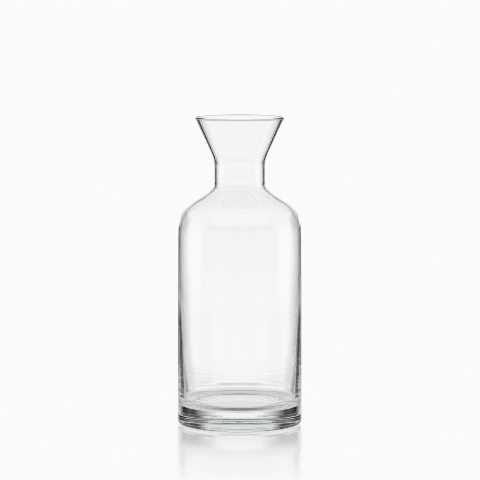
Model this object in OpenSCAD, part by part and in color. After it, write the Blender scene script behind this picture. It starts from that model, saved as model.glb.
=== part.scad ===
// Water carafe with a flared mouth, in clear glass. Millimetres, +Z up.
// The origin is the centre of the ring that the carafe stands on.
// One blown piece: each wall is drawn as a half outline and turned about Z.

/* [Body] */
// Outer diameter of the body just under the shoulder
body_d = 96.6; // [80:0.2:110]
// How much wider the body is just above the heel
base_spread = 0.8; // [0:0.1:2]
// Height at which the side starts to turn in
side_h = 153.2; // [120:0.2:190]
// Radius between the side and the ring that it stands on
heel_r = 4; // [3:0.5:8]

/* [Glass thickness] */
// Wall of the shoulder, the neck and the upper side
wall = 1.4; // [1:0.1:2.4]
// Wall just above the inner floor
low_wall = 5.4; // [3:0.1:7]
// How fast the wall thins on the way up, 1 being a straight taper
thinning = 3; // [1:0.1:4]
// Thickness of the base, up to the inner floor
base_t = 14.8; // [8:0.2:24]
// Radius between the inner floor and the inner wall
floor_r = 9.5; // [6:0.5:18]
// Radius of the rounded lip
lip_r = 1.2; // [0.8:0.1:1.6]

/* [Shoulder] */
// Radius where the side starts to turn in
side_turn_r = 37.5; // [20:0.5:50]
// Radius at the corner of the shoulder, its sharpest stretch
corner_r = 12.4; // [9:0.2:24]
// Radius on top of the shoulder
top_r = 53.5; // [26:0.5:70]
// Radius where the slope hollows towards the neck
hollow_r = 26.5; // [14:0.5:36]
// Radius at the root of the neck
root_r = 6.6; // [3:0.2:9]
// Angle turned along the first stretch of the shoulder
side_turn = 14.8; // [12:0.2:18]
// Angle turned round the corner of the shoulder
corner_turn = 28.8; // [22:0.2:32]
// Angle turned on top of the shoulder
top_turn = 16.7; // [12:0.1:20]
// Part of that angle given back in the hollow
hollow_turn = 20.2; // [14:0.2:30]

/* [Neck and mouth] */
// Outer diameter of the neck
neck_d = 39.7; // [32:0.1:46]
// Height of the straight stretch of the neck
neck_h = 14; // [8:0.5:40]
// Radius between the neck and the flare
throat_r = 21.9; // [12:0.5:30]
// Lean of the flare away from upright
flare_angle = 25; // [18:0.5:32]
// Outer diameter of the rim
rim_d = 69.2; // [62:0.2:84]

/* [Underside] */
// Width of the flat ring that the carafe stands on
ring_w = 12; // [5:0.5:16]
// Rise of the hollow inside that ring
punt_h = 1; // [0.5:0.1:4]

/* [Hidden] */
// Steps of a full turn, and the widest step along an arc, in degrees
turn_steps = 180;
arc_step = 3;
// Rings of the thinning wall
wall_steps = 24;

body_r = body_d / 2;
base_r = body_r + base_spread / 2;
neck_r = neck_d / 2;
rim_r = rim_d / 2;
slope = side_turn + corner_turn + top_turn;
hollow_end = slope - hollow_turn;

// A unit vector at an angle from +X
function toward(angle) = [cos(angle), sin(angle)];

// Points along an arc, from one angle to another
function arc(centre, r, from, to) =
    let (n = max(2, ceil(abs(to - from) / arc_step)))
    [for (i = [0:n]) centre + r * toward(from + (to - from) * i / n)];

// Centres of the shoulder's arcs. Each arc starts where the last one ends, in line with it.
side_c = [body_r - side_turn_r, side_h];
corner_c = side_c + (side_turn_r - corner_r) * toward(side_turn);
top_c = corner_c + (corner_r - top_r) * toward(side_turn + corner_turn);

// The straight slope takes up what the arcs leave between the body and the neck
slope_start = top_c + top_r * toward(slope);
slope_reach = slope_start[0] + hollow_r * cos(slope) + (root_r - hollow_r) * cos(hollow_end);
slope_len = (slope_reach - neck_r - root_r) / sin(slope);
slope_end = slope_start + slope_len * toward(slope + 90);
hollow_c = slope_end + hollow_r * toward(slope);
root_c = hollow_c + (root_r - hollow_r) * toward(hollow_end);

// The flare leaves the throat's arc in line with it and runs on to the lip
throat_c = [neck_r + throat_r, root_c[1] + neck_h];
flare_start = throat_c + throat_r * toward(180 - flare_angle);
flare_reach = rim_r - lip_r - flare_start[0] + lip_r * cos(flare_angle);
flare_end = flare_start + flare_reach / sin(flare_angle) * toward(90 - flare_angle);
lip_c = flare_end + lip_r * toward(180 - flare_angle);

// Inside, the flare is the line that touches the inner throat and the lip
span = throat_c - lip_c;
inner_gap = throat_r + wall - lip_r;
inner_angle = -atan2(span[1], span[0]) - acos(inner_gap / norm(span));

// The wall's thickness at a share of the way from the floor's curve to the shoulder
function wall_at(share) = wall + (low_wall - wall) * pow(1 - share, thinning);
function side_r_at(share) = base_r + (body_r - base_r) * share;
floor_c = [base_r - low_wall - floor_r, base_t + floor_r];

// Shoulder, neck and throat from the side up. depth is 0 outside and the wall inside.
function upper_outline(depth) = concat(
    arc(side_c, side_turn_r - depth, 0, side_turn),
    arc(corner_c, corner_r - depth, side_turn, side_turn + corner_turn),
    arc(top_c, top_r - depth, side_turn + corner_turn, slope),
    arc(hollow_c, hollow_r + depth, 180 + slope, 180 + hollow_end),
    arc(root_c, root_r + depth, 180 + hollow_end, 180),
    arc(throat_c, throat_r + depth, 180, 180 - (depth > 0 ? inner_angle : flare_angle))
);

function outside() = concat(
    arc([base_r - heel_r, heel_r], heel_r, -90, 0),
    upper_outline(0)
);

function lip() = arc(lip_c, lip_r, -flare_angle, 180 - inner_angle);

// The inner wall from the floor up
function inner_side() = [
    for (i = [0:wall_steps - 1])
        let (share = i / wall_steps)
        [side_r_at(share) - wall_at(share), floor_c[1] + (side_h - floor_c[1]) * share]
];

function inside() = concat(
    [[0, base_t]],
    arc(floor_c, floor_r, -90, 0),
    inner_side(),
    upper_outline(wall)
);

// Shallow dome under the base, inside the standing ring
punt_r = base_r - heel_r - ring_w;
punt_ball_r = (punt_r * punt_r + punt_h * punt_h) / (2 * punt_h);
punt_half = asin(punt_r / punt_ball_r);
function underside() = arc([0, punt_h - punt_ball_r], punt_ball_r, 90, 90 - punt_half);

function backwards(points) = [for (i = [len(points) - 1:-1:0]) points[i]];

// The whole piece of glass, turned from one half outline
module glass_body() {
    outline = concat(underside(), outside(), lip(), backwards(inside()));
    color([0.86, 0.9, 0.91, 0.4])
        rotate_extrude($fn = turn_steps)
            polygon(outline);
}

glass_body();
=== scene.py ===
"""Looks of a clear glass water carafe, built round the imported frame. Metres, +Z up."""
import math

import bpy
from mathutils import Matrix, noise


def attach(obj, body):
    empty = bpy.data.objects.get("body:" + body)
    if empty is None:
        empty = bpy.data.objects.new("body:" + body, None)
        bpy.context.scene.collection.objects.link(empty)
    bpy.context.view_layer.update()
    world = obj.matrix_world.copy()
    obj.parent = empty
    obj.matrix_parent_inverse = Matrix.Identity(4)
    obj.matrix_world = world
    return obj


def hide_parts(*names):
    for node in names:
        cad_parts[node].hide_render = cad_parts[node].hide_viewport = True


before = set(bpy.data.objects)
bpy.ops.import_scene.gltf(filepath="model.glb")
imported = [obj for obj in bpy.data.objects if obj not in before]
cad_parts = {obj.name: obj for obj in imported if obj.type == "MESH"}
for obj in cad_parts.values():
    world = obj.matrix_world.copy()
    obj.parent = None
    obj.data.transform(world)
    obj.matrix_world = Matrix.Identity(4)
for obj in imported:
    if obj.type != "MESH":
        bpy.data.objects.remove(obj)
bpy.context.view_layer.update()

# The outline is drawn in millimetres, with the sizes of the construction
MM = 0.001

# Body
BODY_R = 48.3
BASE_R = 48.7
SIDE_H = 153.2
HEEL_R = 4.0

# Glass thickness
WALL = 1.4
LOW_WALL = 5.4
THINNING = 3.0
BASE_T = 14.8
FLOOR_R = 9.5
LIP_R = 1.2

# Shoulder: radii of its arcs and the angles turned along them, from the side up
SIDE_TURN_R = 37.5
CORNER_R = 12.4
TOP_R = 53.5
HOLLOW_R = 26.5
ROOT_R = 6.6
SIDE_TURN = 14.8
CORNER_TURN = 28.8
TOP_TURN = 16.7
HOLLOW_TURN = 20.2
SLOPE = SIDE_TURN + CORNER_TURN + TOP_TURN
HOLLOW_END = SLOPE - HOLLOW_TURN

# Neck and mouth
NECK_R = 19.85
NECK_H = 14.0
THROAT_R = 21.9
FLARE_ANGLE = 25.0
RIM_R = 34.6

# Underside
RING_W = 12.0
PUNT_H = 1.0

# Ripples low in the inner wall, where the thick glass set slowly: the heights at which they end
# and are deepest, the length of a wave, and its depth
RIPPLE_TOP = 82.0
RIPPLE_FOOT = 40.0
RIPPLE_PITCH = 3.2
RIPPLE_DEPTH = 0.028
# How fast they fade on the way up, 1 being a straight fade, and how much they change round the turn
RIPPLE_FADE = 0.8
RIPPLE_DRIFT = 0.6
# Length of a wave in the noise that they are made from
NOISE_WAVE = 2

# Fineness of the mesh: degrees along large arcs and small ones, the distance between rings on
# straight runs and on the ripples, and the steps of a full turn
ARC_STEP = 1.5
BEND_STEP = 3.0
SIDE_STEP = 1.0
RIPPLE_STEP = 0.5
TURN_STEPS = 256
# Points of the outline that are closer than this are one point
SAME_POINT = 1e-4
# Rounds of averaging that let one curve of the shoulder pass softly into the next
SOFTENING = 10

# Glass: how strongly it bends light, and the tint that it gives light on a long way through
GLASS_INDEX = 1.52
GLASS_TINT = (0.90, 0.94, 0.93, 1.0)
TINT_DENSITY = 6.0

# The colour of a surface that takes nothing from the light
FULL_WHITE = (1.0, 1.0, 1.0, 1.0)

# Studio: its white, half the floor's width, and the roughness of the floor's gloss
WHITE = (0.947, 0.956, 0.974)
FLOOR_REACH = 0.60
FLOOR_ROUGHNESS = 0.12
# How glossy and how solid the floor is, each at shares of the way from its middle to its edge
FLOOR_GLOSS = [(0.08, 0.5), (0.30, 0.22), (0.48, 0.0)]
FLOOR_SOLID = [(0.08, 0.12), (0.3, 0.0)]

# Panels and flags round the glass, each over those before it: how bright, then from and to how
# many degrees from straight behind the carafe, then from and to how many degrees above level,
# each range with the width of its soft edge. A range that starts at -90 goes on round the back,
# one that ends at 270 goes on round the front, and 120 is past the top and -120 past the bottom.
# Most of these numbers are the rounded output of another program's fit to the photograph. The
# others were changed or added afterwards.
PANELS = [
    (0.80, (-90, 270, 1), (8, 120, 10)),
    (0.62, (-90, 270, 1), (-120, -15, 14)),
    (0.15, (107, 270, 24), (1, 21, 18)),
    (0.00, (26, 64, 9), (-5, 23, 5)),
    (0.95, (112, 270, 10), (-30, -9, 4)),
    (0.60, (100, 270, 6), (-7, -2, 3)),
    (0.60, (83, 122, 6), (-27, -10, 4)),
    (0.90, (36, 62, 8), (-36, -23, 3)),
    (0.85, (62, 85, 5), (-40, -8, 2)),
    (0.15, (10, 31, 4), (4, 17, 3)),
    (0.55, (-90, 14, 6), (2, 5, 3)),
    (0.77, (-90, 26, 7), (5, 13, 3)),
    (0.15, (-90, 15, 6), (16, 31, 5)),
    (0.25, (11, 52, 1), (-8, -5, 1)),
    (0.00, (15, 44, 2), (-5, -3, 2)),
    (0.00, (28, 65, 16), (-14, -7, 2)),
    (0.00, (17, 38, 6), (-20, -9, 2)),
    (0.25, (-90, 15, 8), (-38, -37, 3)),
    (0.20, (-90, 270, 1), (-120, -64, 24)),
    (1.00, (-90, 7, 3), (-30, -3, 13)),
    (0.70, (-90, 6, 4), (-18, -14, 3)),
]

# Camera, as in the photograph: its tilt in degrees, then its distance and aim in metres, and the
# scale and size of the square picture
CAMERA_TILT = 5.553
CAMERA_DISTANCE = 2.6748
CAMERA_AIM = (0.23 * MM, 0.0, 145.4 * MM)
PIXELS_PER_METRE = 1278.0
PICTURE_PIXELS = 480
SENSOR_WIDTH = 36.0
CLIP_END = 20.0

# How often light may bounce in all, off the inside of the glass and through it, and a pixel
# filter narrow enough for the thin dark lines along its edges
BOUNCES = 32
GLASS_BOUNCES = 24
PIXEL_FILTER = 0.9

# Colour sockets of a mix node, which share their names with its other sockets
MIX_COLOURS = (6, 7)
MIX_RESULT = 2


def clamped(value):
    return min(1.0, max(0.0, value))


def toward(angle, length=1.0):
    """A vector of that length, in the plane of the outline, at an angle from outward."""
    turn = math.radians(angle)
    return (length * math.cos(turn), length * math.sin(turn))


def add(*points):
    return tuple(sum(parts) for parts in zip(*points))


def arc(centre, radius, start, end, step=ARC_STEP):
    """Points along an arc of the outline."""
    count = max(2, math.ceil(abs(end - start) / step))
    angles = [start + (end - start) * i / count for i in range(count + 1)]
    return [add(centre, toward(angle, radius)) for angle in angles]


def line(start, end):
    """Points along a straight run, without its first and last."""
    count = max(1, math.ceil(math.dist(start, end) / SIDE_STEP))
    return [tuple(a + (b - a) * i / count for a, b in zip(start, end)) for i in range(1, count)]


# Centres of the shoulder's arcs, each tangent to the one before it
side_c = (BODY_R - SIDE_TURN_R, SIDE_H)
corner_c = add(side_c, toward(SIDE_TURN, SIDE_TURN_R - CORNER_R))
top_c = add(corner_c, toward(SIDE_TURN + CORNER_TURN, CORNER_R - TOP_R))

# The straight slope takes up what the arcs leave between the body and the neck
slope_start = add(top_c, toward(SLOPE, TOP_R))
hollow_reach = HOLLOW_R * math.cos(math.radians(SLOPE))
root_reach = (ROOT_R - HOLLOW_R) * math.cos(math.radians(HOLLOW_END))
slope_reach = slope_start[0] + hollow_reach + root_reach - NECK_R - ROOT_R
slope_len = slope_reach / math.sin(math.radians(SLOPE))
slope_end = add(slope_start, toward(SLOPE + 90, slope_len))
hollow_c = add(slope_end, toward(SLOPE, HOLLOW_R))
root_c = add(hollow_c, toward(HOLLOW_END, ROOT_R - HOLLOW_R))

# The flare leaves the throat's arc in line with it and runs on to the lip
throat_c = (NECK_R + THROAT_R, root_c[1] + NECK_H)
flare_start = add(throat_c, toward(180 - FLARE_ANGLE, THROAT_R))
flare_reach = RIM_R - LIP_R - flare_start[0] + LIP_R * math.cos(math.radians(FLARE_ANGLE))
flare_len = flare_reach / math.sin(math.radians(FLARE_ANGLE))
flare_end = add(flare_start, toward(90 - FLARE_ANGLE, flare_len))
lip_c = add(flare_end, toward(180 - FLARE_ANGLE, LIP_R))

# Inside, the flare is the line that touches the inner throat and the lip
span = (throat_c[0] - lip_c[0], throat_c[1] - lip_c[1])
inner_gap = THROAT_R + WALL - LIP_R
span_angle = math.atan2(span[1], span[0])
inner_angle = -math.degrees(span_angle + math.acos(inner_gap / math.hypot(*span)))

# The inner floor's curve, and the ball whose cap is the hollow under the base
floor_c = (BASE_R - LOW_WALL - FLOOR_R, BASE_T + FLOOR_R)
punt_r = BASE_R - HEEL_R - RING_W
punt_ball_r = (punt_r ** 2 + PUNT_H ** 2) / (2 * PUNT_H)
punt_half = math.degrees(math.asin(punt_r / punt_ball_r))


def joined(*runs):
    """Runs of points end to end, straight gaps filled, with no point twice."""
    points = []
    for run in runs:
        if points:
            points += line(points[-1], run[0])
        for point in run:
            if not points or math.dist(points[-1], point) > SAME_POINT:
                points.append(point)
    return points


def softened(points):
    """A run of points with its changes of curvature spread out. Both ends stay."""
    for _ in range(SOFTENING):
        between_ends = []
        for before, here, after in zip(points, points[1:], points[2:]):
            middle = tuple((a + 2 * b + c) / 4 for a, b, c in zip(before, here, after))
            between_ends.append(middle)
        points = [points[0], *between_ends, points[-1]]
    return points


def upper_outline(depth):
    """Shoulder, neck and throat from the side up. depth is 0 outside and the wall inside."""
    flare = inner_angle if depth else FLARE_ANGLE
    return [
        arc(side_c, SIDE_TURN_R - depth, 0, SIDE_TURN),
        arc(corner_c, CORNER_R - depth, SIDE_TURN, SIDE_TURN + CORNER_TURN),
        arc(top_c, TOP_R - depth, SIDE_TURN + CORNER_TURN, SLOPE),
        arc(hollow_c, HOLLOW_R + depth, 180 + SLOPE, 180 + HOLLOW_END),
        arc(root_c, ROOT_R + depth, 180 + HOLLOW_END, 180),
        arc(throat_c, THROAT_R + depth, 180, 180 - flare),
    ]


def inner_side():
    """The inner wall, which thins from the floor up. Its rings are closer where it has ripples."""
    points = []
    height = floor_c[1]
    while height < SIDE_H:
        share = (height - floor_c[1]) / (SIDE_H - floor_c[1])
        thickness = WALL + (LOW_WALL - WALL) * (1 - share) ** THINNING
        outer = BASE_R + (BODY_R - BASE_R) * share
        points.append((outer - thickness, height))
        height += RIPPLE_STEP if height < RIPPLE_TOP else SIDE_STEP
    return points


def outline():
    """The half outline, from the centre of the underside out, up, and down inside."""
    punt = arc((0.0, PUNT_H - punt_ball_r), punt_ball_r, 90, 90 - punt_half)
    heel = arc((BASE_R - HEEL_R, HEEL_R), HEEL_R, -90, 0, BEND_STEP)
    lip = arc(lip_c, LIP_R, -FLARE_ANGLE, 180 - inner_angle, BEND_STEP)
    outside = softened(joined([heel[-1]], *upper_outline(0), [lip[0]]))
    inside = softened(joined(inner_side(), *upper_outline(WALL), [lip[-1]]))
    inside = joined([(0.0, BASE_T)], arc(floor_c, FLOOR_R, -90, 0), inside)
    return joined([(0.0, PUNT_H)] + punt[1:], heel, outside, lip, inside[::-1])


def ripple_depth(height):
    """How deep the ripples are at a height. They fade to the floor's curve and up the wall."""
    below = (height - floor_c[1]) / (RIPPLE_FOOT - floor_c[1])
    above = (RIPPLE_TOP - height) / (RIPPLE_TOP - RIPPLE_FOOT)
    return RIPPLE_DEPTH * clamped(below) * clamped(above) ** RIPPLE_FADE


def ripple(travel, around):
    """The waves themselves, at a distance along the outline and an angle round the turn."""
    drift = toward(math.degrees(around), RIPPLE_DRIFT)
    return noise.noise((*drift, NOISE_WAVE * travel / RIPPLE_PITCH))


def turned_points(points):
    """The corners of the turned outline in metres, with the ripples in its inner wall."""
    rings = points[1:-1]
    brim = rings.index(max(rings, key=lambda ring: ring[1]))
    corners = [(0.0, 0.0, points[0][1] * MM)]
    travel = 0.0
    for i, (radius, height) in enumerate(rings):
        before, after = points[i], points[i + 2]
        length = math.dist(before, after)
        travel += length / 2
        depth = ripple_depth(height) if i > brim else 0.0
        for k in range(TURN_STEPS):
            around = math.tau * k / TURN_STEPS
            swell = depth * ripple(travel, around) / length if depth else 0.0
            r = (radius + swell * (after[1] - before[1])) * MM
            z = (height + swell * (before[0] - after[0])) * MM
            corners.append((r * math.cos(around), r * math.sin(around), z))
    corners.append((0.0, 0.0, points[-1][1] * MM))
    return corners


def turned_faces(last):
    """Faces from ring to ring, and a fan to the axis at each end. last is the last corner."""
    first_of_last = last - TURN_STEPS
    faces = []
    for k in range(TURN_STEPS):
        after = (k + 1) % TURN_STEPS
        faces.append((0, 1 + after, 1 + k))
        faces.append((last, first_of_last + k, first_of_last + after))
        for low in range(1, first_of_last, TURN_STEPS):
            high = low + TURN_STEPS
            faces.append((low + k, low + after, high + after, high + k))
    return faces


def turned(name, points):
    """A closed mesh turned about Z from a half outline that starts and ends on the axis."""
    corners = turned_points(points)
    mesh = bpy.data.meshes.new(name)
    mesh.from_pydata(corners, [], turned_faces(len(corners) - 1))
    mesh.update()
    mesh.shade_smooth()
    piece = bpy.data.objects.new(name, mesh)
    bpy.context.scene.collection.objects.link(piece)
    return piece


def clear_glass():
    """Smooth clear glass, which takes a little of the light on a long way through."""
    material = bpy.data.materials.new("clear_glass")
    material.use_nodes = True
    nodes = material.node_tree.nodes
    shader = nodes["Principled BSDF"]
    shader.inputs["Base Color"].default_value = FULL_WHITE
    shader.inputs["Roughness"].default_value = 0.0
    shader.inputs["IOR"].default_value = GLASS_INDEX
    shader.inputs["Transmission Weight"].default_value = 1.0
    volume = nodes.new("ShaderNodeVolumeAbsorption")
    volume.inputs["Color"].default_value = GLASS_TINT
    volume.inputs["Density"].default_value = TINT_DENSITY
    into = nodes["Material Output"].inputs["Volume"]
    material.node_tree.links.new(volume.outputs["Volume"], into)
    return material


class Graph:
    """Short hands for building the node tree of a material or world."""

    def __init__(self, owner):
        owner.use_nodes = True
        owner.node_tree.nodes.clear()
        self.tree = owner.node_tree

    def node(self, kind, **settings):
        made = self.tree.nodes.new(kind)
        for key, value in settings.items():
            setattr(made, key, value)
        return made

    def link(self, source, target):
        self.tree.links.new(source, target)

    def math(self, operation, a, b=0.0):
        made = self.node("ShaderNodeMath", operation=operation)
        for slot, value in zip(made.inputs, (a, b)):
            if isinstance(value, (int, float)):
                slot.default_value = value
            else:
                self.link(value, slot)
        return made.outputs[0]

    def ramp(self, factor, stops):
        made = self.node("ShaderNodeValToRGB")
        ramp = made.color_ramp
        # A new stop starts halfway and is then moved to its place
        while len(ramp.elements) < len(stops):
            ramp.elements.new(0.5)
        for element, (place, level) in zip(ramp.elements, stops):
            element.position = place
            element.color = (level, level, level, 1.0)
        self.link(factor, made.inputs["Fac"])
        return made.outputs["Color"]

    def mix(self, factor, *colours):
        made = self.node("ShaderNodeMix", data_type="RGBA")
        self.link(factor, made.inputs["Factor"])
        for place, value in zip(MIX_COLOURS, colours):
            if isinstance(value, tuple):
                made.inputs[place].default_value = (*value, 1.0)
            else:
                self.link(value, made.inputs[place])
        return made.outputs[MIX_RESULT]

    def mix_shader(self, *sources):
        """A mix of two shaders. The sources are its factor, then the shaders."""
        made = self.node("ShaderNodeMixShader")
        for source, slot in zip(sources, made.inputs):
            self.link(source, slot)
        return made.outputs[0]


def between(g, value, low, high, soft):
    """1 where value is between two edges, fading over soft, all in degrees."""
    rise = g.math("DIVIDE", g.math("SUBTRACT", value, low - soft / 2), soft)
    fall = g.math("DIVIDE", g.math("SUBTRACT", high + soft / 2, value), soft)
    inside = g.node("ShaderNodeClamp")
    g.link(g.math("MINIMUM", rise, fall), inside.inputs[0])
    return inside.outputs[0]


def studio_world():
    """Plain white to the camera and the floor. Only the sharp rays of the glass see the panels
    and dark flags that stand round it, alike left and right."""
    world = bpy.data.worlds.new("studio")
    scene.world = world
    g = Graph(world)
    direction = g.node("ShaderNodeTexCoord").outputs["Generated"]
    parts = g.node("ShaderNodeSeparateXYZ")
    g.link(direction, parts.inputs[0])
    x, y, z = parts.outputs
    around = g.math("DEGREES", g.math("ABSOLUTE", g.math("ARCTAN2", x, y)))
    height = g.math("DEGREES", g.math("ARCSINE", z))
    pattern = WHITE
    for level, (left, right, edge), (low, high, fade) in PANELS:
        across = between(g, around, left, right, edge)
        upright = between(g, height, low, high, fade)
        share = g.math("MULTIPLY", across, upright)
        pattern = g.mix(share, pattern, tuple(level * part for part in WHITE))
    path = g.node("ShaderNodeLightPath")
    colour = g.mix(path.outputs["Is Singular Ray"], WHITE, pattern)
    background = g.node("ShaderNodeBackground")
    g.link(colour, background.inputs["Color"])
    output = g.node("ShaderNodeOutputWorld")
    g.link(background.outputs[0], output.inputs["Surface"])


def floor_material():
    """White, glossy and a little solid near the carafe, and clear further out."""
    material = bpy.data.materials.new("studio_floor")
    g = Graph(material)
    place = g.node("ShaderNodeNewGeometry").outputs["Position"]
    distance = g.node("ShaderNodeVectorMath", operation="LENGTH")
    g.link(place, distance.inputs[0])
    radius = g.math("DIVIDE", distance.outputs["Value"], FLOOR_REACH)
    gloss = g.ramp(radius, FLOOR_GLOSS)
    solid = g.ramp(radius, FLOOR_SOLID)
    # Rays that come from glass pass through the floor and see the studio below it
    path = g.node("ShaderNodeLightPath")
    rays = (path.outputs["Is Transmission Ray"], path.outputs["Is Glossy Ray"])
    other = g.math("SUBTRACT", 1.0, g.math("MAXIMUM", *rays))
    solid = g.math("MULTIPLY", solid, other)
    gloss = g.math("MULTIPLY", gloss, other)
    clear = g.node("ShaderNodeBsdfTransparent")
    matte = g.node("ShaderNodeBsdfDiffuse")
    matte.inputs["Color"].default_value = FULL_WHITE
    shiny = g.node("ShaderNodeBsdfGlossy")
    shiny.inputs["Color"].default_value = FULL_WHITE
    shiny.inputs["Roughness"].default_value = FLOOR_ROUGHNESS
    under = g.mix_shader(solid, clear.outputs[0], matte.outputs[0])
    surface = g.mix_shader(gloss, under, shiny.outputs[0])
    output = g.node("ShaderNodeOutputMaterial")
    g.link(surface, output.inputs["Surface"])
    return material


def studio_floor():
    """A white floor that fades into the white behind it."""
    bpy.ops.mesh.primitive_plane_add(size=2 * FLOOR_REACH, location=(0, 0, 0))
    floor = bpy.context.object
    floor.name = "studio_floor"
    floor.data.materials.append(floor_material())


def photo_camera():
    """The photograph's view: a long lens, a little above, looking slightly down."""
    data = bpy.data.cameras.new("photo_camera")
    data.sensor_width = SENSOR_WIDTH
    data.lens = PIXELS_PER_METRE * CAMERA_DISTANCE * SENSOR_WIDTH / PICTURE_PIXELS
    data.clip_end = CLIP_END
    camera = bpy.data.objects.new("photo_camera", data)
    scene.collection.objects.link(camera)
    tilt = math.radians(CAMERA_TILT)
    back = CAMERA_DISTANCE * math.cos(tilt)
    up = CAMERA_DISTANCE * math.sin(tilt)
    camera.location = (CAMERA_AIM[0], CAMERA_AIM[1] - back, CAMERA_AIM[2] + up)
    camera.rotation_euler = (math.pi / 2 - tilt, 0.0, 0.0)
    scene.camera = camera


glass = turned("carafe_glass", outline())
glass.data.materials.append(clear_glass())
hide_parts("glass_body")
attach(glass, "root")

scene = bpy.context.scene
scene.view_settings.view_transform = "Standard"
scene.cycles.max_bounces = BOUNCES
scene.cycles.glossy_bounces = GLASS_BOUNCES
scene.cycles.transmission_bounces = GLASS_BOUNCES
scene.cycles.filter_width = PIXEL_FILTER
studio_world()
studio_floor()
photo_camera()
